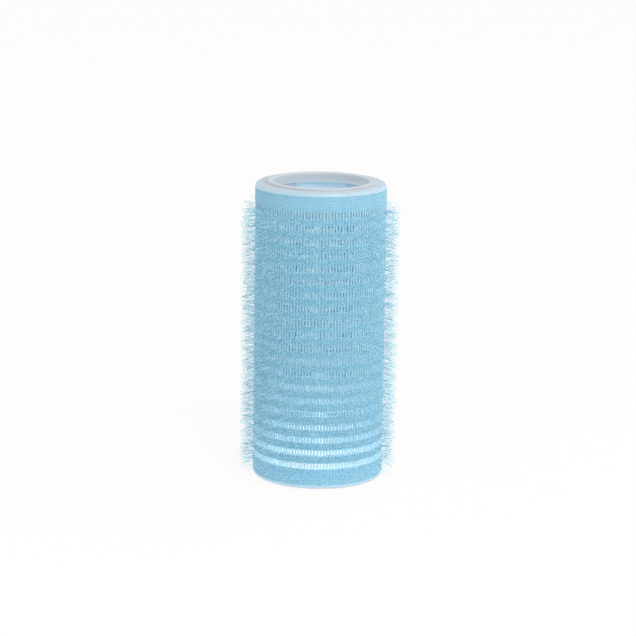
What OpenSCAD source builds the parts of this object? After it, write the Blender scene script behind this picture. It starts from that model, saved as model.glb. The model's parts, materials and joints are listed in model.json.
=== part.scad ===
// Self-grip hair roller: a moulded cage tube, a woven hook tape wrapped
// round it, and a translucent collar pressed into each end.
// It stands on its lower collar. Z runs up its axis, and the front is -Y.

/* [Roller] */
// Length between the outer faces of the two collars' rims
rim_length = 63; // [50:1:80]
// Radius of the woven tape's outer face
tape_r = 13.9; // [13.5:0.1:15]
// Facets of a full circle
round_steps = 96; // [48:8:160]

/* [Collars] */
// Outer radius of a collar
collar_r = 13.8; // [13.5:0.1:14]
// Radius of the hole through a collar
hole_r = 10.2; // [8:0.1:10.5]
// Height of a collar's rim
rim_h = 0.9; // [0.8:0.1:1.6]
// Rounding of a collar's outer corner
rim_round = 0.8; // [0.3:0.1:0.8]
// Height of the rounded lip above the rim
lip_h = 0.4; // [0.3:0.1:0.8]
// Width of the lip
lip_w = 1.2; // [0.8:0.1:1.6]
// Rounding of the lip's two edges
lip_round = 0.2; // [0.1:0.05:0.3]
// Length of the wall inside the hole, below the lip
hole_wall = 1.9; // [1.6:0.1:2.2]
// Snap tabs under a collar
tabs = 4; // [3:1:6]
// Width of a snap tab, as an angle
tab_angle = 35; // [20:1:50]
// Length of a snap tab below the rim
tab_l = 3.2; // [2:0.1:4]
// Thickness of a snap tab
tab_t = 0.8; // [0.6:0.1:1]

/* [Cage] */
// Wall of the cage tube
cage_wall = 1; // [0.8:0.1:1.2]
// Windows along the cage
window_rows = 12; // [6:1:12]
// Staves round the cage, an even number
staves = 8; // [6:2:10]
// Height of a window
window_h = 3; // [2:0.1:3.4]
// Distance from one row of windows to the next
window_pitch = 4.5; // [4:0.1:4.5]
// Height of the lowest row of windows, at its middle
first_window = 6.3; // [6:0.1:7]
// Width of a stave
stave_w = 1.4; // [1:0.1:3]
// Angle of the first stave from the front
stave_turn = 4; // [0:1:20]

/* [Hook tape] */
// Open rows along the tape, one more band than this
gap_rows = 20; // [10:1:20]
// Distance from one open row to the next
row_pitch = 2.8; // [2.6:0.1:2.8]
// Height of the lowest open row, at its middle
first_gap = 5.4; // [5:0.1:6]
// Height of an open row
gap_h = 1.2; // [0.8:0.1:1.4]
// Thickness of a woven band
band_t = 0.5; // [0.4:0.1:0.6]
// Warp ribs on a band, and the depth between them
rib_pitch = 0.4; // [0.3:0.1:0.5]
rib_depth = 0.1; // [0.05:0.05:0.15]
// Weft yarns round the tape
weft_count = 128; // [96:16:160]
// Diameter of a weft yarn
weft_d = 0.28; // [0.2:0.02:0.3]

/* [Hooks and seam] */
// Height of the hooks above the tape
hook_h = 2.7; // [2:0.1:3]
// Half height of a row of hooks at its foot
hook_foot = 0.8; // [0.6:0.1:1]
// Half height of a row of hooks at its crown
hook_crown = 1.1; // [0.9:0.1:1.3]
// Angle of the seam from the front, anticlockwise from above
seam_turn = 150; // [120:1:240]
// Width of the seam, as an angle
seam_angle = 10; // [6:1:14]
// Thickness of the welded seam
seam_t = 0.3; // [0.2:0.1:0.5]

/* [Hidden] */
// One name for each node: the bands and hook rows are numbered upwards
$fn = round_steps;
// Heights of the two collars' rims, and of the tube between them
bottom_rim = lip_h;
top_rim = lip_h + rim_length;
tube_low = bottom_rim + rim_h;
tube_high = top_rim - rim_h;
// Radii from the inside out: cage, weft yarns, bands, hooks
weft_room = 0.3;
cage_out = tape_r - band_t - weft_room;
cage_in = cage_out - cage_wall;
band_in = tape_r - band_t;
weft_r = cage_out + weft_room / 2;
hook_r = tape_r + hook_h;
// The front is -Y, which is -90 degrees from +X
front = -90;
// Hooks stop short of the seam by this angle on each side
seam_clear = 1;
// Anything that cuts runs past the solid by this much
past = 1;

function gap_z(i) = first_gap + row_pitch * i;
function two_digits(i) = i < 10 ? str("0", i) : str(i);

// A ring of the given profile that runs from one angle over another
module arc_ring(start, sweep) {
    rotate([0, 0, start])
        rotate_extrude(angle = sweep) children();
}

// The collar's outline: rim, rounded corner, lip and the wall of the hole.
// Height 0 is the outer face of the rim.
module collar_outline() {
    corner_r = collar_r - rim_round;
    lip_z = lip_h - lip_round;
    translate([hole_r, -rim_h])
        square([corner_r - hole_r, rim_h]);
    translate([corner_r, -rim_h])
        square([rim_round, rim_h - rim_round]);
    translate([corner_r, -rim_round])
        circle(r = rim_round);
    for (r = [hole_r + lip_round, hole_r + lip_w - lip_round])
        translate([r, lip_z])
            circle(r = lip_round);
    translate([hole_r + lip_round, lip_z])
        square([lip_w - 2 * lip_round, lip_round]);
    translate([hole_r, lip_z - hole_wall])
        square([lip_w, hole_wall]);
}

// A snap tab's outline, with a lead-in at its foot
module tab_outline() {
    lead = tab_t / 2;
    polygon([
        [cage_in - tab_t, -rim_h],
        [cage_in - tab_t, -rim_h - tab_l],
        [cage_in - lead, -rim_h - tab_l],
        [cage_in, -rim_h - tab_l + lead],
        [cage_in, -rim_h]
    ]);
}

// One collar, with its rim's face at height 0 and its tabs hanging down
module collar() {
    tab_pitch = 360 / tabs;
    rotate_extrude() collar_outline();
    for (i = [0 : tabs - 1])
        arc_ring(front + (i + 0.5) * tab_pitch - tab_angle / 2, tab_angle)
            tab_outline();
}

module top_collar() {
    color([0.92, 0.94, 0.96, 0.8])
        translate([0, 0, top_rim]) collar();
}

module bottom_collar() {
    color([0.92, 0.94, 0.96, 0.8])
        translate([0, 0, bottom_rim]) rotate([180, 0, 0]) collar();
}

// The cage's section at a row of windows: the gaps between its staves
module window_fan() {
    difference() {
        circle(r = cage_out + past);
        circle(r = cage_in - past);
        for (i = [0 : staves / 2 - 1])
            rotate([0, 0, front + stave_turn + i * 360 / staves])
                square([2 * cage_out + 4 * past, stave_w], center = true);
    }
}

// The cage: a tube with rows of windows between its staves
module core_cage() {
    color([0.86, 0.90, 0.94, 0.85])
        difference() {
            translate([0, 0, tube_low])
                cylinder(r = cage_out, h = tube_high - tube_low);
            translate([0, 0, tube_low - past])
                cylinder(r = cage_in, h = tube_high - tube_low + 2 * past);
            for (row = [0 : window_rows - 1])
                translate([0, 0, first_window + row * window_pitch - window_h / 2])
                    linear_extrude(window_h) window_fan();
        }
}

// The weft yarns run up the tape, behind its bands and across its open rows
module weft_yarns() {
    color([0.62, 0.82, 0.91])
        for (i = [0 : weft_count - 1])
            rotate([0, 0, i * 360 / weft_count])
                translate([weft_r, 0, tube_low])
                    cylinder(d = weft_d, h = tube_high - tube_low, $fn = 24);
}

// One woven band between two heights, ribbed by its warp yarns
module woven_band(low, high) {
    ribs = max(2, round((high - low) / rib_pitch));
    pitch = (high - low) / ribs;
    color([0.55, 0.76, 0.86])
        rotate_extrude() {
            translate([band_in, low])
                square([band_t - rib_depth, high - low]);
            for (i = [0 : ribs - 1])
                translate([tape_r - pitch / 2, low + (i + 0.5) * pitch])
                    circle(d = pitch, $fn = 16);
        }
}

// Band i runs from the open row below it to the open row above it
module numbered_band(i) {
    low = i == 1 ? tube_low : gap_z(i - 2) + gap_h / 2;
    high = i == gap_rows + 1 ? tube_high : gap_z(i - 1) - gap_h / 2;
    woven_band(low, high);
}

// One row of hooks: a brush with a rounded crown that stops at the seam
module hook_row(i) {
    bare = seam_angle + 2 * seam_clear;
    crown_r = hook_r - hook_crown;
    color([0.80, 0.92, 0.97, 0.6])
        translate([0, 0, gap_z(i - 1) - row_pitch / 2])
            arc_ring(front + seam_turn + bare / 2, 360 - bare) {
                polygon([
                    [tape_r, -hook_foot],
                    [crown_r, -hook_crown],
                    [crown_r, hook_crown],
                    [tape_r, hook_foot]
                ]);
                translate([crown_r, 0]) circle(r = hook_crown, $fn = 32);
            }
}

// The welded seam that closes the tape, from collar to collar
module tape_seam() {
    color([0.60, 0.80, 0.89])
        arc_ring(front + seam_turn - seam_angle / 2, seam_angle)
            translate([tape_r, tube_low])
                square([seam_t, tube_high - tube_low]);
}

core_cage();
top_collar();
bottom_collar();
weft_yarns();
tape_seam();
for (i = [1 : gap_rows + 1])
    numbered_band(i);
for (i = [1 : gap_rows])
    hook_row(i);
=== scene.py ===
"""A self-grip hair roller that stands on its end: a moulded cage tube, a woven
hook tape round it, and a milky collar pressed into each end.

Lengths are in metres. The origin is under the middle of the lower collar, Z runs
up the roller's axis and the front is -Y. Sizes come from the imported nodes.
"""
import json
import math

import bpy
import numpy as np
from mathutils import Matrix, Vector


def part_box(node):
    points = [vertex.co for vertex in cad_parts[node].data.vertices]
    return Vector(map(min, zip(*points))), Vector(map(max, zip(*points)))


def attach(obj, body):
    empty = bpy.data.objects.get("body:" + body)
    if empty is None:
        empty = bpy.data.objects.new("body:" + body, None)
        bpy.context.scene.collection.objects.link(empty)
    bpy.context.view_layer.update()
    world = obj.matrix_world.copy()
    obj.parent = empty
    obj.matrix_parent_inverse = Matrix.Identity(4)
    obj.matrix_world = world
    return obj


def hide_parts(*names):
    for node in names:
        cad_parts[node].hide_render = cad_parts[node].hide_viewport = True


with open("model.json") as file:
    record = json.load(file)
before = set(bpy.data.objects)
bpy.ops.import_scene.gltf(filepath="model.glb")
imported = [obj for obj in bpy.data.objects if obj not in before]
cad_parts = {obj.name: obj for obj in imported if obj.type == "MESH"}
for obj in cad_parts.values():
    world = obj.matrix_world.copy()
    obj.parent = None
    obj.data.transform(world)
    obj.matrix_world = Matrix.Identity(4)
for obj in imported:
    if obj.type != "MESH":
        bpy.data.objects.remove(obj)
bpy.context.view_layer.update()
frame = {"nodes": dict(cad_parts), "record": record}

MM = 0.001
FULL_TURN = 2 * math.pi
FRONT = -math.pi / 2
nodes = frame["nodes"]


# ---------------------------------------------------------------- sizes

def node_sizes(name):
    """A ring node's outer radius, lowest height and highest height."""
    low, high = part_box(name)
    return high.x, low.z, high.z


BAND_NAMES = sorted(n for n in nodes if n.startswith("woven_band_"))
HOOK_NAMES = sorted(n for n in nodes if n.startswith("hook_row_"))
tape_r = node_sizes("woven_band_01")[0]
hook_r = node_sizes("hook_row_01")[0]
cage_r, tube_low, tube_high = node_sizes("core_cage")
collar_r, _, top_z = node_sizes("top_collar")
mounts = {m["name"]: m for m in frame["record"]["mounts"]}
hole_r = mounts["top_hole"]["dims"]["r_mm"] * MM
hole_wall = mounts["top_hole"]["dims"]["length_mm"] * MM

# The collars, the cage's wall and the seam, as in the part's own drawing
LIP_H = 0.4 * MM
LIP_W = 1.2 * MM
LIP_ROUND = 0.2 * MM
RIM_H = 0.9 * MM
RIM_ROUND = 0.8 * MM
CAGE_WALL = 1.0 * MM
TAB_T = 0.8 * MM
TAB_L = 3.2 * MM
TAB_ANGLE = math.radians(35)
TABS = 4
SEAM_T = 0.3 * MM
SEAM_ANGLE = math.radians(10)
seam_at = FRONT + math.radians(150)

# The weave: warp yarns run round the roller, weft yarns run up it
WEFT_COUNT = 128
WARP_PITCH = 0.4 * MM
WARP_HALF_H = 0.215 * MM
WARP_HALF_T = 0.14 * MM
WARP_WAVE = 0.05 * MM
WARP_DRIFT = 0.02 * MM
STEPS_PER_WAVE = 6
WEFT_R = 0.15 * MM
WEFT_WAVE = 0.12 * MM
YARN_SIDES = 6
warp_r = tape_r - 0.3 * MM
# A weft yarn's width across an open row, as a multiple of its width in a band
WEFT_SPREAD = 1.7
# How far it strays sideways, as a share of its radius
WEFT_SWAY = 0.25
# It comes out of a band this far past the band's edge
WEFT_EXIT = 0.05 * MM

# The hooks, in lines along each band
HOOKS_ROUND = 96
HOOK_LINES = 3
HOOK_LINE_PITCH = 0.52 * MM
HOOK_R = 0.07 * MM
HOOK_SIDES = 4
HOOK_BEND = 0.55 * MM
HOOK_ROOT = 0.35 * MM
HOOK_SEAM_GAP = 0.05
# A hook's outline: its stem's drift as a share of its size, the heights of its
# stem's middle and its leg's end as shares of its crown's, the distance of its
# leg's end as a number of bends, and the angles of its turn
STEM_DRIFT = 0.02
STEM_MIDDLE = 0.5
LEG_END = 0.55
LEG_TUCK = 1.85
TURN = np.radians(np.linspace(180, -15, 7))
# A piece that stands on another starts this far inside it
OVERLAP = 0.1 * MM

# The seam's pressed pattern: the size and slant of its diamonds, its mean
# thickness and its swing as shares of SEAM_T, and how sharply its edges fall
DIAMOND = 0.45 * MM
SLANT = 16
SEAM_MEAN = 0.70
SEAM_SWING = 0.25
SEAM_EDGE_POWER = 6

# Chance in the hooks: shares of their pitch, reach or bend, and angles in radians
STRAY = 0.16
TALLEST = 1.10
SHORTER = 0.55
SHORT_POWER = 2.4
BEND_RANGE = (0.7, 1.1)
BEND_LIMIT = 0.35
LINE_LEAN = 0.30
LEAN_MEAN = -0.06
LEAN_SPREAD = 0.18
TIP_SPREAD = 0.14
TWIST = 1.3
rng = np.random.default_rng(28)


# ---------------------------------------------------------------- meshes

def add_mesh(name, points, face_sets, smooth=True):
    """A mesh object from an array of points and arrays of faces, one array for
    each number of corners."""
    mesh = bpy.data.meshes.new(name)
    points = np.asarray(points, np.float32).reshape(-1, 3)
    corners = np.concatenate([f.ravel() for f in face_sets]).astype(np.int32)
    counts = np.concatenate([np.full(len(f), f.shape[1]) for f in face_sets])
    starts = np.concatenate([[0], np.cumsum(counts)[:-1]]).astype(np.int32)
    mesh.vertices.add(len(points))
    mesh.vertices.foreach_set("co", points.ravel())
    mesh.loops.add(len(corners))
    mesh.loops.foreach_set("vertex_index", corners)
    mesh.polygons.add(len(counts))
    mesh.polygons.foreach_set("loop_start", starts)
    mesh.polygons.foreach_set("use_smooth", np.full(len(counts), smooth))
    mesh.update(calc_edges=True)
    obj = bpy.data.objects.new(name, mesh)
    bpy.context.scene.collection.objects.link(obj)
    return obj


def add_attribute(obj, name, values):
    """One number for each point, for a material to read."""
    layer = obj.data.attributes.new(name, "FLOAT", "POINT")
    layer.data.foreach_set("value", np.asarray(values, np.float32).ravel())


def sweep_faces(tubes, rings, sides, closed):
    """Faces of equal tubes whose points are ordered by tube, ring and side. A
    closed tube joins its last ring to its first; an open one gets an end cap."""
    spans = rings if closed else rings - 1
    k, i, j = np.meshgrid(np.arange(tubes), np.arange(spans), np.arange(sides), indexing="ij")
    here = k * rings * sides
    ring_a = here + i * sides
    ring_b = here + (i + 1) % rings * sides
    side_b = (j + 1) % sides
    quads = np.stack([ring_a + j, ring_a + side_b, ring_b + side_b, ring_b + j], -1)
    faces = [quads.reshape(-1, 4)]
    if not closed:
        first = np.arange(tubes)[:, None] * rings * sides
        side = np.arange(sides)[None, :]
        faces.append(first + side[:, ::-1])
        faces.append(first + (rings - 1) * sides + side)
    return faces


def sweep(name, centres, across, along, sides, closed):
    """Tubes round arrays of centre points, shaped (tube, ring, 3). Each ring is an
    ellipse: centre + across * cos(a) + along * sin(a), for a round a full turn.
    Across times along, as a vector product, points the way the tube runs."""
    a = np.arange(sides) * FULL_TURN / sides
    points = (centres[:, :, None, :]
              + across[:, :, None, :] * np.cos(a)[:, None]
              + along[:, :, None, :] * np.sin(a)[:, None])
    tubes, rings = centres.shape[:2]
    return add_mesh(name, points, sweep_faces(tubes, rings, sides, closed))


def polar(radius, angle, height):
    """Points from radius, angle and height, as one array."""
    radius, angle, height = np.broadcast_arrays(radius, angle, height)
    return np.stack([radius * np.cos(angle), radius * np.sin(angle), height], -1)


def outward(angle):
    """Unit vectors away from the axis."""
    return polar(1.0, angle, 0.0)


def around(angle):
    """Unit vectors round the axis, anticlockwise from above."""
    return polar(1.0, angle + math.pi / 2, 0.0)


def arc(centre_r, centre_z, radius, start, end, steps):
    """Points of an arc in a section, from one angle in degrees to another."""
    a = np.radians(np.linspace(start, end, steps))
    return np.stack([centre_r + radius * np.cos(a), centre_z + radius * np.sin(a)], -1)


# ---------------------------------------------------------------- shared shading

def new_group(name, inputs, outputs):
    """An empty node group. Inputs are given as name to (kind, value), outputs as
    name to kind."""
    tree = bpy.data.node_groups.new(name, "ShaderNodeTree")
    for label, (kind, value) in inputs.items():
        socket = tree.interface.new_socket(label, in_out="INPUT", socket_type=kind)
        if value is not None:
            socket.default_value = value
    for label, kind in outputs.items():
        tree.interface.new_socket(label, in_out="OUTPUT", socket_type=kind)
    return tree, tree.nodes.new("NodeGroupInput"), tree.nodes.new("NodeGroupOutput")


def link(tree, source, target):
    tree.links.new(source, target)


def math_node(tree, kind, first, second):
    """A Math node; each of its inputs is a socket or a number."""
    node = tree.nodes.new("ShaderNodeMath")
    node.operation = kind
    for slot_number, value in enumerate((first, second)):
        if isinstance(value, (int, float)):
            node.inputs[slot_number].default_value = value
        else:
            link(tree, value, node.inputs[slot_number])
    return node.outputs[0]


def noise_node(tree, vector, scale, detail):
    """A Noise texture on a vector, with its scale from a socket."""
    node = tree.nodes.new("ShaderNodeTexNoise")
    node.inputs["Detail"].default_value = detail
    link(tree, vector, node.inputs["Vector"])
    link(tree, scale, node.inputs["Scale"])
    return node.outputs["Fac"]


def mix_colour(tree, factor, first, second):
    """A colour mix; each input is a socket or a value."""
    node = tree.nodes.new("ShaderNodeMix")
    node.data_type = "RGBA"
    colour_sockets = (node.inputs[0], node.inputs[6], node.inputs[7])
    for socket, value in zip(colour_sockets, (factor, first, second)):
        if hasattr(value, "links"):
            link(tree, value, socket)
        else:
            socket.default_value = value
    return node.outputs[2]


def attribute_node(tree, name):
    """The number that each point of a piece carries under a name."""
    node = tree.nodes.new("ShaderNodeAttribute")
    node.attribute_name = name
    return node.outputs["Fac"]


def ramp(tree, value, start, end, low, high):
    """A smooth change from low to high while a value goes from start to end."""
    node = tree.nodes.new("ShaderNodeMapRange")
    node.interpolation_type = "SMOOTHSTEP"
    link(tree, value, node.inputs["Value"])
    labels = ("From Min", "From Max", "To Min", "To Max")
    for label, number in zip(labels, (start, end, low, high)):
        node.inputs[label].default_value = number
    return node.outputs["Result"]


def axis_distance(tree):
    """Sockets that give a point's distance from the roller's axis and its height."""
    place = tree.nodes.new("ShaderNodeTexCoord")
    flat = tree.nodes.new("ShaderNodeVectorMath")
    flat.operation = "MULTIPLY"
    flat.inputs[1].default_value = (1, 1, 0)
    link(tree, place.outputs["Object"], flat.inputs[0])
    distance = tree.nodes.new("ShaderNodeVectorMath")
    distance.operation = "LENGTH"
    link(tree, flat.outputs[0], distance.inputs[0])
    parts = tree.nodes.new("ShaderNodeSeparateXYZ")
    link(tree, place.outputs["Object"], parts.inputs["Vector"])
    return distance.outputs["Value"], parts.outputs["Z"]


def past_tape_end(tree, height):
    """How far a height is past the nearer end of the tape, or less than 0 on it:
    its distance from the tape's middle less half of the tape's length."""
    from_middle = math_node(tree, "SUBTRACT", height, (tube_low + tube_high) / 2)
    either_way = math_node(tree, "ABSOLUTE", from_middle, 0.0)
    return math_node(tree, "SUBTRACT", either_way, (tube_high - tube_low) / 2)


def make_tone_group():
    """Slow changes of shade over a surface, and a fine grain for its bump.
    Colour = mix of the two tones by a stretched noise; Grain = fine noise."""
    tree, given, result = new_group(
        "surface_tone",
        {"Light tone": ("NodeSocketColor", None), "Deep tone": ("NodeSocketColor", None),
         "Patch scale": ("NodeSocketFloat", 200.0), "Grain scale": ("NodeSocketFloat", 4000.0),
         "Stretch": ("NodeSocketVector", (1.0, 1.0, 1.0))},
        {"Color": "NodeSocketColor", "Grain": "NodeSocketFloat"})
    place = tree.nodes.new("ShaderNodeTexCoord")
    stretched = tree.nodes.new("ShaderNodeVectorMath")
    stretched.operation = "MULTIPLY"
    link(tree, place.outputs["Object"], stretched.inputs[0])
    link(tree, given.outputs["Stretch"], stretched.inputs[1])
    patches = noise_node(tree, stretched.outputs[0], given.outputs["Patch scale"], 3.0)
    colour = mix_colour(tree, patches, given.outputs["Deep tone"], given.outputs["Light tone"])
    grain = noise_node(tree, stretched.outputs[0], given.outputs["Grain scale"], 2.0)
    link(tree, colour, result.inputs["Color"])
    link(tree, grain, result.inputs["Grain"])
    return tree


TONE = make_tone_group()
GRAIN_DEPTH = 0.02 * MM


def new_material(name):
    """A material with an empty node tree apart from its Principled shader."""
    material = bpy.data.materials.new(name)
    material.use_nodes = True
    return material, material.node_tree, material.node_tree.nodes["Principled BSDF"]


def add_tone(tree, shader, light, deep, patch, grain, stretch=(1, 1, 1), bump=0.2):
    """Places the tone group in a material and feeds its colour and its bump."""
    tone = tree.nodes.new("ShaderNodeGroup")
    tone.node_tree = TONE
    tone.inputs["Light tone"].default_value = (*light, 1)
    tone.inputs["Deep tone"].default_value = (*deep, 1)
    tone.inputs["Patch scale"].default_value = patch
    tone.inputs["Grain scale"].default_value = grain
    tone.inputs["Stretch"].default_value = stretch
    relief = tree.nodes.new("ShaderNodeBump")
    relief.inputs["Strength"].default_value = bump
    relief.inputs["Distance"].default_value = GRAIN_DEPTH
    link(tree, tone.outputs["Color"], shader.inputs["Base Color"])
    link(tree, tone.outputs["Grain"], relief.inputs["Height"])
    link(tree, relief.outputs["Normal"], shader.inputs["Normal"])
    return tone


def add_painted_glow(tree, shader, colour):
    """Painted glow, as emission, standing in for light that a thin wall or yarn carries inside;
    its colour comes from a socket.
    """
    link(tree, colour, shader.inputs["Emission Color"])
    shader.inputs["Emission Strength"].default_value = 1.0


def let_light_through(shader, weight, radius, scale):
    """Subsurface light for thin milky walls and yarns; radius is by colour."""
    shader.inputs["Subsurface Weight"].default_value = weight
    shader.inputs["Subsurface Radius"].default_value = radius
    shader.inputs["Subsurface Scale"].default_value = scale


def warp_yarn_material():
    """Light-blue nylon yarn, drawn out round the roller, with a soft sheen. A faint
    painted glow lies all over it, stronger at the tape's two ends, next to the open mouths, for
    the light that comes in there."""
    material, tree, shader = new_material("warp_yarn")
    add_tone(tree, shader, (0.24, 0.49, 0.625), (0.19, 0.425, 0.565), 260.0, 9000.0,
             stretch=(1, 1, 3), bump=0.35)
    shader.inputs["Roughness"].default_value = 0.62
    shader.inputs["Sheen Weight"].default_value = 0.03
    let_light_through(shader, 0.5, (0.6, 0.9, 1.0), 0.4 * MM)
    _, height = axis_distance(tree)
    # Painted glow: the yarn is lit more near the tape's ends, by the mouths.
    near_mouth = ramp(tree, past_tape_end(tree, height), -6 * MM, -1.5 * MM, 0.0, 1.0)
    painted_glow = mix_colour(tree, near_mouth, (0.022, 0.052, 0.072, 1), (0.065, 0.115, 0.15, 1))
    add_painted_glow(tree, shader, painted_glow)
    return material


def weft_yarn_material():
    """Paler nylon yarn, drawn out up the roller. In the lowest open rows a painted glow
    stands in for the light that comes up inside the tube and shows through it."""
    material, tree, shader = new_material("weft_yarn")
    add_tone(tree, shader, (0.35, 0.60, 0.73), (0.275, 0.53, 0.68), 300.0, 9000.0,
             stretch=(3, 3, 1), bump=0.3)
    shader.inputs["Roughness"].default_value = 0.5
    shader.inputs["Sheen Weight"].default_value = 0.2
    let_light_through(shader, 0.5, (0.7, 0.9, 1.0), 0.4 * MM)
    _, height = axis_distance(tree)
    # Painted glow: only in the open rows, and strongest at the bottom.
    lowness = ramp(tree, height, 4 * MM, 15 * MM, 1.0, 0.0)
    lit = math_node(tree, "MULTIPLY", lowness, attribute_node(tree, "open_row"))
    painted_glow = mix_colour(tree, lit, (0.0, 0.0, 0.0, 1), (0.21, 0.23, 0.24, 1))
    add_painted_glow(tree, shader, painted_glow)
    return material


def hook_material():
    """Stiff clear monofilament with the tape's blue in it, paler and clearer at its tip,
    and deeper at its foot, where it leaves the tape, as painted shade among the crowded hooks. A
    faint painted glow keeps it light where the hooks shade each other."""
    material, tree, shader = new_material("hook_filament")
    tone = add_tone(tree, shader, (0.52, 0.80, 0.90), (0.45, 0.74, 0.86), 500.0, 6000.0, bump=0.1)
    reach = attribute_node(tree, "reach")
    # Painted shade: deeper colour at the foot, fading to the paler tip.
    paleness = ramp(tree, reach, 0.1, 0.8, 0.0, 1.0)
    colour = mix_colour(tree, paleness, (0.21, 0.54, 0.71, 1), tone.outputs["Color"])
    link(tree, colour, shader.inputs["Base Color"])
    cover = ramp(tree, reach, 0.1, 0.9, 0.19, 0.17)
    link(tree, cover, shader.inputs["Alpha"])
    shader.inputs["Roughness"].default_value = 0.35
    shader.inputs["IOR"].default_value = 1.53
    # A faint painted glow for the light that the clear filament carries.
    shader.inputs["Emission Color"].default_value = (0.32, 0.66, 0.80, 1)
    shader.inputs["Emission Strength"].default_value = 0.16
    return material


def cage_material():
    """Milky moulded plastic with a fine satin grain. A painted glow stands in for the
    light its wall carries: on the outer face up from the pale floor, on the inner face in from the
    floor and a little from the top.
    Dimness is 0 where the painted glow is strongest and 1 far away."""
    material, tree, shader = new_material("cage_plastic")
    add_tone(tree, shader, (0.86, 0.93, 0.97), (0.80, 0.89, 0.95), 120.0, 2500.0, bump=0.12)
    shader.inputs["Roughness"].default_value = 0.42
    let_light_through(shader, 0.8, (0.8, 1.0, 1.0), 2.0 * MM)
    radius, height = axis_distance(tree)
    # Painted glow: how dim each face is, by height.
    from_floor = ramp(tree, height, 3 * MM, 15 * MM, 0.1, 1.0)
    near_top = ramp(tree, height, 57.5 * MM, 60 * MM, 0.0, 0.12)
    inner_dimness = math_node(tree, "SUBTRACT", from_floor, near_top)
    inner_painted_glow = mix_colour(tree, inner_dimness, (0.24, 0.40, 0.48, 1), (0.035, 0.10, 0.14, 1))
    outer_dimness = ramp(tree, height, 3 * MM, 36 * MM, 0.0, 1.0)
    outer_painted_glow = mix_colour(tree, outer_dimness, (0.62, 0.72, 0.78, 1), (0.0, 0.02, 0.04, 1))
    outer_face = ramp(tree, radius, cage_r - 0.8 * CAGE_WALL, cage_r - 0.1 * CAGE_WALL, 0.0, 1.0)
    painted_glow = mix_colour(tree, outer_face, inner_painted_glow, outer_painted_glow)
    add_painted_glow(tree, shader, painted_glow)
    return material


def tape_side_mask(tree):
    """A mask for the tape's blue, painted as light into the collar's rounded side: strong
    next to the tape and 0 away from it. It is a step in the distance from the axis times a fall in
    height."""
    radius, height = axis_distance(tree)
    outer = ramp(tree, radius, hole_r + 0.5 * LIP_W, collar_r - RIM_ROUND, 0.0, 1.0)
    beside = ramp(tree, past_tape_end(tree, height), 0.0, 1.6 * RIM_H, 0.6, 0.0)
    return math_node(tree, "MULTIPLY", outer, beside)


def collar_material():
    """Milky plastic with a painted glow for the light that comes through it: most in the
    thin wall of the hole, less in the rim, and bluer in the tabs, which stand inside the tube.
    Beside the tape its rounded side has the tape's blue painted in."""
    material, tree, shader = new_material("collar_plastic")
    tone = add_tone(tree, shader, (0.38, 0.405, 0.425), (0.34, 0.37, 0.395), 150.0, 3000.0,
                    bump=0.08)
    near_tape = tape_side_mask(tree)
    # Painted light: the tape's blue painted into the milky rim beside it.
    painted_tape_tint = mix_colour(tree, near_tape, tone.outputs["Color"], (0.32, 0.59, 0.75, 1))
    link(tree, painted_tape_tint, shader.inputs["Base Color"])
    shader.inputs["Roughness"].default_value = 0.32
    let_light_through(shader, 0.8, (0.9, 1.0, 1.0), 2.0 * MM)
    radius, height = axis_distance(tree)
    past = past_tape_end(tree, height)
    # Painted glow, graded by place on the collar.
    from_hole = ramp(tree, radius, hole_r, hole_r + 0.5 * LIP_W, 0.0, 1.0)
    upward = ramp(tree, past, -0.8 * MM, 1.0 * MM, 0.0, 1.0)
    wall_painted_glow = mix_colour(tree, upward, (0.33, 0.35, 0.38, 1), (0.19, 0.21, 0.235, 1))
    ring_painted_glow = mix_colour(tree, from_hole, wall_painted_glow, (0.125, 0.15, 0.18, 1))
    in_tube = ramp(tree, past, -1.3 * MM, -0.8 * MM, 1.0, 0.0)
    painted_glow = mix_colour(tree, in_tube, ring_painted_glow, (0.17, 0.24, 0.29, 1))
    add_painted_glow(tree, shader, painted_glow)
    return material


def seam_material():
    """Melted yarn, pressed flat: smoother and a little deeper than the weave."""
    material, tree, shader = new_material("seam_weld")
    add_tone(tree, shader, (0.34, 0.62, 0.78), (0.25, 0.52, 0.70), 400.0, 5000.0, bump=0.2)
    shader.inputs["Roughness"].default_value = 0.4
    return material


# ---------------------------------------------------------------- the roller

def settle(piece, node, material):
    """Gives a new piece its material and its body, and hides the node it stands for."""
    piece.data.materials.append(material)
    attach(piece, "root")
    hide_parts(node)


def band_yarns(name):
    """A band's lowest and highest heights, the number of warp yarns that share
    them out evenly, and the yarns' pitch, which is near WARP_PITCH."""
    _, low, high = node_sizes(name)
    yarns = max(2, round((high - low) / WARP_PITCH))
    return low, high, yarns, (high - low) / yarns


def warp_band(name, material):
    """One woven band: closed yarns side by side. Each yarn is an ellipse carried
    round the axis; its radius rises and falls once for every two weft yarns, and
    its neighbours are half a wave out of step."""
    low, _, yarns, pitch = band_yarns(name)
    steps = WEFT_COUNT // 2 * STEPS_PER_WAVE
    angle = (np.arange(steps) * FULL_TURN / steps)[None, :]
    row = np.arange(yarns)[:, None]
    wave = np.cos(angle * WEFT_COUNT / 2 + math.pi * row)
    drift = WARP_DRIFT * np.sin(angle * 3 + rng.uniform(0, FULL_TURN, (yarns, 1)))
    centres = polar(warp_r + WARP_WAVE * wave, angle, low + (row + 0.5) * pitch + drift)
    across = np.broadcast_to(outward(angle) * WARP_HALF_T, centres.shape)
    along = np.broadcast_to(np.array([0, 0, -WARP_HALF_H * pitch / WARP_PITCH]), centres.shape)
    piece = sweep(name.replace("woven_band", "warp_band"), centres, across, along,
                  YARN_SIDES, True)
    settle(piece, name, material)


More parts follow.
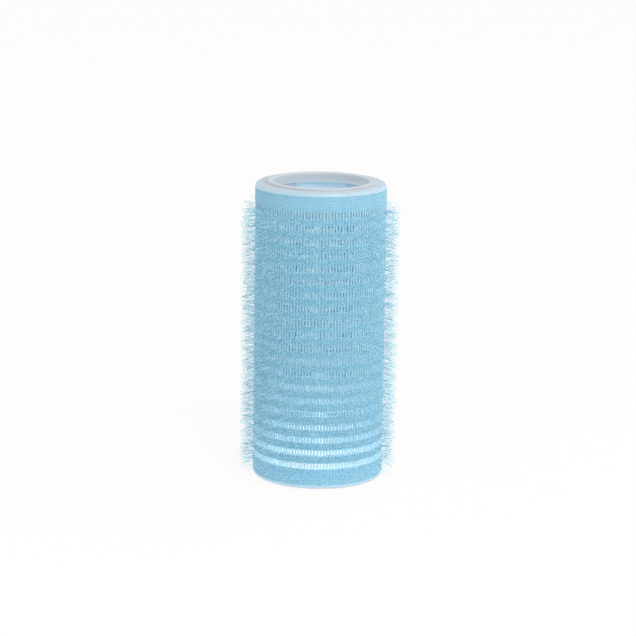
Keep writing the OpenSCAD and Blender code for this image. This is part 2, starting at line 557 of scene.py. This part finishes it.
def weft_heights():
    """Heights at which a weft yarn is bent, and its side of the tape there: 1 over
    or -1 under at the middle of each warp yarn, and 0 just past each band."""
    heights, sides = [], []
    warps_below = 0
    for name in BAND_NAMES:
        low, high, yarns, pitch = band_yarns(name)
        heights.append(low - WEFT_EXIT)
        sides.append(0)
        for i in range(yarns):
            heights.append(low + (i + 0.5) * pitch)
            sides.append(1 if warps_below % 2 == 0 else -1)
            warps_below += 1
        heights.append(high + WEFT_EXIT)
        sides.append(0)
    heights[0] = tube_low
    heights[-1] = tube_high
    return np.array(heights), np.array(sides, float)


def weft_yarns(material):
    """The yarns up the tape. Each goes over one warp yarn and under the next: its
    radius is the warp's radius plus or minus the wave's height. Across an open
    row, where nothing holds its fibres together, a yarn is wider. Its two ends
    are inside the end bands, so they aren't open."""
    heights, sides = weft_heights()
    open_row = sides == 0
    open_row[[0, -1]] = False
    spread = np.where(open_row, WEFT_SPREAD, 1.0)[:, None]
    per_piece = WEFT_COUNT // 2
    for start, name in ((0, "weft_yarns_odd"), (1, "weft_yarns_even")):
        number = start + 2 * np.arange(per_piece)
        angle = (number * FULL_TURN / WEFT_COUNT)[:, None]
        over = np.where(number % 2 == 0, 1.0, -1.0)[:, None] * sides
        sway = WEFT_SWAY * rng.normal(size=(per_piece, len(heights))) * WEFT_R / warp_r
        centres = polar(warp_r - WEFT_WAVE * over, angle + sway, heights)
        across = np.broadcast_to(outward(angle) * WEFT_R, centres.shape)
        along = np.broadcast_to(around(angle) * WEFT_R * spread, centres.shape)
        piece = sweep(name, centres, across, along, YARN_SIDES, False)
        add_attribute(piece, "open_row", np.tile(np.repeat(open_row, YARN_SIDES), per_piece))
        settle(piece, "weft_yarns", material)


def hook_places():
    """The line and the angle of each hook in a row, strayed by chance, with none
    on the seam. The lines are numbered from the middle one: -1, 0 and 1."""
    line = np.repeat(np.arange(HOOK_LINES) - (HOOK_LINES - 1) / 2, HOOKS_ROUND)
    step = FULL_TURN / HOOKS_ROUND
    angle = np.tile(np.arange(HOOKS_ROUND), HOOK_LINES) * step + line * step / HOOK_LINES
    angle = angle + rng.normal(0, STRAY * step, len(line))
    from_seam = (angle - seam_at + math.pi) % FULL_TURN - math.pi
    keep = np.abs(from_seam) > SEAM_ANGLE / 2 + HOOK_SEAM_GAP
    return line[keep], angle[keep]


def hook_axes(angle, lean, twist):
    """Each hook's own directions: away from the tape, and along the hook's plane."""
    lean, twist = lean[:, None, None], twist[:, None, None]
    place = outward(angle)[:, None, :]
    up = np.array([0.0, 0.0, 1.0])
    away = place * np.cos(lean) + up * np.sin(lean)
    rise = up * np.cos(lean) - place * np.sin(lean)
    side = around(angle)[:, None, :] * np.cos(twist) + rise * np.sin(twist)
    return away, side


def hook_section(size, bend):
    """A hook in its own plane, as distances along and away from the tape: a stem
    with a point half way up, a half turn of the given bend, and a short leg that
    comes back down to just over half of the crown's height."""
    crown = size - bend
    root = np.full(len(size), -HOOK_ROOT)
    turn_t = bend[:, None] * (1 + np.cos(TURN))
    turn_h = crown[:, None] + bend[:, None] * np.sin(TURN)
    t = np.column_stack([np.zeros(len(size)), STEM_DRIFT * size, turn_t, LEG_TUCK * bend])
    h = np.column_stack([root, STEM_MIDDLE * crown, turn_h, LEG_END * crown])
    return t, h


def hook_row(name, material):
    """One row of hooks in three lines. A hook's plane runs round the tape, twisted
    by chance; the lines above and below the middle one lean away from it. A
    hook's size is its reach times TALLEST - SHORTER * u ** SHORT_POWER, with u
    drawn evenly from 0 to 1, so that most hooks are nearly full size."""
    _, low, high = node_sizes(name)
    middle = (low + high) / 2
    line, angle = hook_places()
    count = len(line)
    reach = hook_r - tape_r
    size = reach * (TALLEST - SHORTER * rng.uniform(0, 1, count) ** SHORT_POWER)
    bend = np.minimum(HOOK_BEND * rng.uniform(*BEND_RANGE, count), BEND_LIMIT * size)
    turn_way = np.where(rng.random(count) < 0.5, -1.0, 1.0)
    lean = LINE_LEAN * line + rng.normal(LEAN_MEAN, LEAN_SPREAD, count)
    tip = rng.normal(0, TIP_SPREAD, count)
    twist = rng.uniform(-TWIST, TWIST, count)
    t, h = hook_section(size, bend)
    t = (t - bend[:, None]) * turn_way[:, None] + h * tip[:, None]
    away, side = hook_axes(angle, lean, twist)
    foot = polar(tape_r - OVERLAP, angle, middle + line * HOOK_LINE_PITCH)
    centres = foot[:, None, :] + away * h[:, :, None] + side * t[:, :, None]
    along_path = np.gradient(centres, axis=1)
    along_path /= np.linalg.norm(along_path, axis=-1, keepdims=True)
    flat = np.cross(np.broadcast_to(away, centres.shape), np.broadcast_to(side, centres.shape))
    across = flat * HOOK_R
    along = np.cross(along_path, flat) * HOOK_R
    piece = sweep(name.replace("hook_row", "hooks"), centres, across, along, HOOK_SIDES, False)
    add_attribute(piece, "reach", np.repeat(np.clip(h / reach, 0, 1), HOOK_SIDES, axis=1))
    settle(piece, name, material)


def collar_outline():
    """The section of a collar's ring, clockwise, with its rim's face at height 0."""
    corner = collar_r - RIM_ROUND
    lip_z = LIP_H - LIP_ROUND
    lip_out = hole_r + LIP_W - LIP_ROUND
    wall_low = lip_z - hole_wall
    return np.concatenate([
        arc(hole_r + LIP_ROUND, lip_z, LIP_ROUND, 180, 90, 6),
        arc(lip_out, lip_z, LIP_ROUND, 90, 20, 6),
        [[lip_out + LIP_ROUND, 0.0]],
        arc(corner, -RIM_ROUND, RIM_ROUND, 90, 0, 9),
        [[collar_r, -RIM_H], [hole_r + LIP_W, -RIM_H]],
        [[hole_r + LIP_W, wall_low], [hole_r, wall_low]],
    ])


def tab_outline():
    """The section of a snap tab, with a lead-in at its foot."""
    tab_out = cage_r - CAGE_WALL
    tab_in = tab_out - TAB_T
    tab_top = -RIM_H + OVERLAP
    tab_foot = -RIM_H - TAB_L
    lead = TAB_T / 2
    return np.array([[tab_in, tab_top], [tab_out, tab_top], [tab_out, tab_foot + lead],
                     [tab_out - lead, tab_foot], [tab_in, tab_foot]])


def collar(name, face_z, way, material):
    """A collar: its section carried round the axis, and its snap tabs, each a
    short curved plate. Way is 1 for the upper collar and -1 for the lower one."""
    outline = collar_outline()
    steps = 192
    angle = np.arange(steps) * FULL_TURN / steps * way
    points = polar(outline[None, :, 0], angle[:, None], face_z + way * outline[None, :, 1])
    faces = sweep_faces(1, steps, len(outline), True)
    section = tab_outline()
    tab_steps = 16
    middles = FRONT + (np.arange(TABS) + 0.5) * FULL_TURN / TABS
    sweep_angle = (np.linspace(-0.5, 0.5, tab_steps) * TAB_ANGLE * way)[None, :] + middles[:, None]
    tab_points = polar(section[None, None, :, 0], sweep_angle[:, :, None],
                       face_z + way * section[None, None, :, 1])
    tab_faces = sweep_faces(TABS, tab_steps, len(section), False)
    offset = len(points) * len(outline)
    all_points = np.concatenate([points.reshape(-1, 3), tab_points.reshape(-1, 3)])
    piece = add_mesh(name + "_ring", all_points, faces + [f + offset for f in tab_faces])
    settle(piece, name, material)


def seam(material):
    """The welded seam: a strip up the tape whose outer face has a pressed pattern
    of small diamonds, worked out as the product of two slanting waves."""
    rows, columns = 420, 17
    height = np.linspace(tube_low, tube_high, rows)[:, None]
    across = np.linspace(-0.5, 0.5, columns)[None, :]
    edge = 1 - (2 * np.abs(across)) ** SEAM_EDGE_POWER
    wave_a = np.sin(height / DIAMOND + across * SLANT)
    wave_b = np.sin(height / DIAMOND - across * SLANT)
    relief = SEAM_T * (SEAM_MEAN + SEAM_SWING * wave_a * wave_b)
    angle = seam_at + across * SEAM_ANGLE
    outer = polar(tape_r + relief * edge, angle, height)
    inner = polar(tape_r - OVERLAP, angle, height)[:, ::-1]
    ring = np.concatenate([outer, inner], 1)
    piece = add_mesh("tape_seam_weld", ring, sweep_faces(1, rows, 2 * columns, False))
    settle(piece, "tape_seam", material)


def dress_cage(material):
    """The cage keeps its own shape and gets its finish."""
    cage = nodes["core_cage"]
    cage.data.materials.clear()
    cage.data.materials.append(material)


yarn = warp_yarn_material()
for band_name in BAND_NAMES:
    warp_band(band_name, yarn)
weft_yarns(weft_yarn_material())
filament = hook_material()
for hook_name in HOOK_NAMES:
    hook_row(hook_name, filament)
milky = collar_material()
collar("top_collar", top_z - LIP_H, 1, milky)
collar("bottom_collar", LIP_H, -1, milky)
seam(seam_material())
dress_cage(cage_material())


# ---------------------------------------------------------------- floor, light and camera

def floor():
    """A pale floor that glows faintly, so that it stays near white up to the roller."""
    half = 6.0
    level = -0.02 * MM
    corners = ((-half, -half), (half, -half), (half, half), (-half, half))
    points = np.array([[x, y, level] for x, y in corners])
    piece = add_mesh("floor", points, [np.array([[0, 1, 2, 3]])], smooth=False)
    material, _, shader = new_material("floor_white")
    shader.inputs["Base Color"].default_value = (0.10, 0.10, 0.10, 1)
    shader.inputs["Roughness"].default_value = 0.9
    shader.inputs["Specular IOR Level"].default_value = 0.0
    shader.inputs["Emission Color"].default_value = (1.0, 0.99, 0.975, 1)
    shader.inputs["Emission Strength"].default_value = 0.90
    piece.data.materials.append(material)


def area_light(name, place, aim, size, power):
    """A square soft light at a place, turned towards a point."""
    light = bpy.data.lights.new(name, "AREA")
    light.size = size
    light.energy = power
    lamp = bpy.data.objects.new(name, light)
    lamp.location = place
    lamp.rotation_euler = (Vector(aim) - Vector(place)).to_track_quat("-Z", "Y").to_euler()
    bpy.context.scene.collection.objects.link(lamp)


def studio():
    """A bright surround, a little stronger on the right, and one soft light."""
    world = bpy.data.worlds.new("studio")
    world.use_nodes = True
    tree = world.node_tree
    tree.nodes["Background"].inputs["Color"].default_value = (1.0, 0.992, 0.98, 1)
    place = tree.nodes.new("ShaderNodeTexCoord")
    parts = tree.nodes.new("ShaderNodeSeparateXYZ")
    link(tree, place.outputs["Generated"], parts.inputs["Vector"])
    strength = ramp(tree, parts.outputs["X"], -1.0, 1.0, 0.64, 0.94)
    link(tree, strength, tree.nodes["Background"].inputs["Strength"])
    bpy.context.scene.world = world
    area_light("key", (0.3, -0.7, 0.6), (0, 0, 0.03), 0.5, 4.0)
    bpy.context.scene.view_settings.view_transform = "Standard"


def camera():
    """A long lens, slightly above the roller and turned by under a degree."""
    place = Vector((-0.283, -519.37, 150.55)) * MM
    aim = Vector((-0.283, 0.0, 34.2)) * MM
    roll = math.radians(0.808)
    data = bpy.data.cameras.new("camera")
    data.sensor_width = 36.0
    data.lens = 142.15
    eye = bpy.data.objects.new("camera", data)
    forward = (aim - place).normalized()
    right = Vector((1, 0, 0))
    up = right.cross(forward)
    right_rolled = right * math.cos(roll) + up * math.sin(roll)
    up_rolled = up * math.cos(roll) - right * math.sin(roll)
    turn = Matrix((right_rolled, up_rolled, -forward)).transposed()
    eye.matrix_world = Matrix.Translation(place) @ turn.to_4x4()
    bpy.context.scene.collection.objects.link(eye)
    bpy.context.scene.camera = eye


floor()
studio()
camera()
